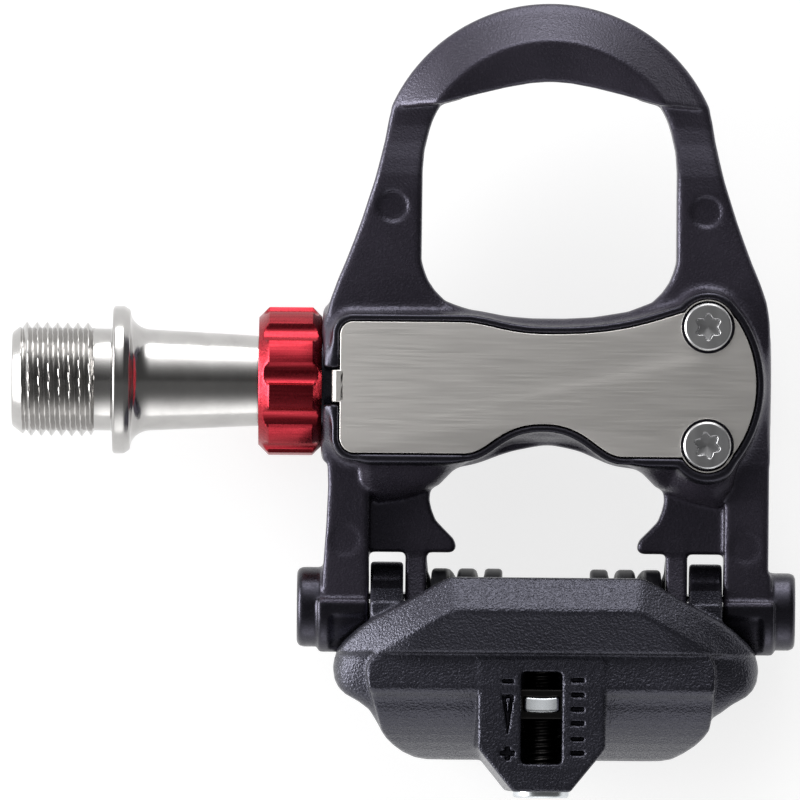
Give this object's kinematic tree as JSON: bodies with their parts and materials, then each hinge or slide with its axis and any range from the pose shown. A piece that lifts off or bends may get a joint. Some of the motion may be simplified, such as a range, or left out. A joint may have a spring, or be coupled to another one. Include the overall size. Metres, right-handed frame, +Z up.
{
  "type": "clipless road pedal",
  "caption": "Single-sided clipless road pedal with a spring-loaded rear clip, a steel wear plate and a spindle that screws into a crank arm.",
  "frame": {"origin": "on the spindle axis, in the plane where the spindle's flange meets the crank arm", "axes": "+X along the spindle away from the crank, +Y towards the front of the bicycle, +Z up towards the shoe"},
  "size_m": [0.0983, 0.0993, 0.0243],
  "materials": {
    "body_plastic": "moulded, fine spark-eroded grain",
    "clip_plastic": "moulded, satin grain",
    "spindle_steel": "satin neck, polished flange",
    "plate_steel": "brushed",
    "screw_steel": "satin",
    "anodised_red": "red anodised",
    "bearing_steel": "ground",
    "spring_black": "black oxide",
    "zinc": "bright zinc",
    "bush_plastic": "turned",
    "seal_rubber": "matt"
  },
  "bodies": {
    "spindle": {"spindle": "spindle_steel", "spindle_nut": "bearing_steel", "bearing_inner_race_1": "bearing_steel", "bearing_inner_race_2": "bearing_steel", "bearing_inner_race_3": "bearing_steel"},
    "ball_cages": {"ball_cage_1": "bearing_steel", "ball_cage_2": "bearing_steel", "ball_cage_3": "bearing_steel"},
    "pedal_body": {"pedal_body": "body_plastic", "platform_plate": "plate_steel", "plate_screw_front": "screw_steel", "plate_screw_rear": "screw_steel", "lock_collar": "anodised_red", "axle_seal": "seal_rubber", "axle_bush": "bush_plastic", "spacer_sleeve": "bearing_steel", "bearing_outer_race_1": "bearing_steel", "bearing_outer_race_2": "bearing_steel", "bearing_outer_race_3": "bearing_steel", "hinge_pin": "bearing_steel", "torsion_spring": "spring_black"},
    "rear_clip": {"clip_jaw": "clip_plastic", "hinge_bush_inboard": "bush_plastic", "hinge_bush_outboard": "bush_plastic"},
    "tension_screw": {"tension_screw": "zinc", "tension_screw_washer": "bearing_steel"},
    "tension_nut": {"tension_nut": "zinc"}
  },
  "joints": [
    {"name": "pedal_spin", "type": "hinge", "parent": "spindle", "child": "pedal_body", "pos_m": [0, 0, 0], "axis": [1, 0, 0], "continuous": true},
    {"name": "ball_cages_turn", "type": "hinge", "parent": "spindle", "child": "ball_cages", "pos_m": [0, 0, 0], "axis": [1, 0, 0], "continuous": true},
    {"name": "clip_open", "type": "hinge", "parent": "pedal_body", "child": "rear_clip", "pos_m": [0.0545, -0.02825, -0.001], "axis": [1, 0, 0], "range_deg": [0, 24], "stiffness_Nm_per_rad": 0.25, "springref_deg": -11.46, "deforming": ["torsion_spring"]},
    {"name": "tension_screw_turn", "type": "hinge", "parent": "rear_clip", "child": "tension_screw", "pos_m": [0.054, -0.045, 0.0069], "axis": [0, 1, 0], "range_deg": [-1080, 1620]},
    {"name": "tension_nut_slide", "type": "slide", "parent": "rear_clip", "child": "tension_nut", "axis": [0, 1, 0], "range_m": [-0.0036, 0.0024]}
  ],
  "couplings": [
    {"joint": "ball_cages_turn", "follows": "pedal_spin", "ratio": 0.5556},
    {"joint": "tension_screw_turn", "follows": "tension_nut_slide", "rad_per_m": -7854}
  ]
}
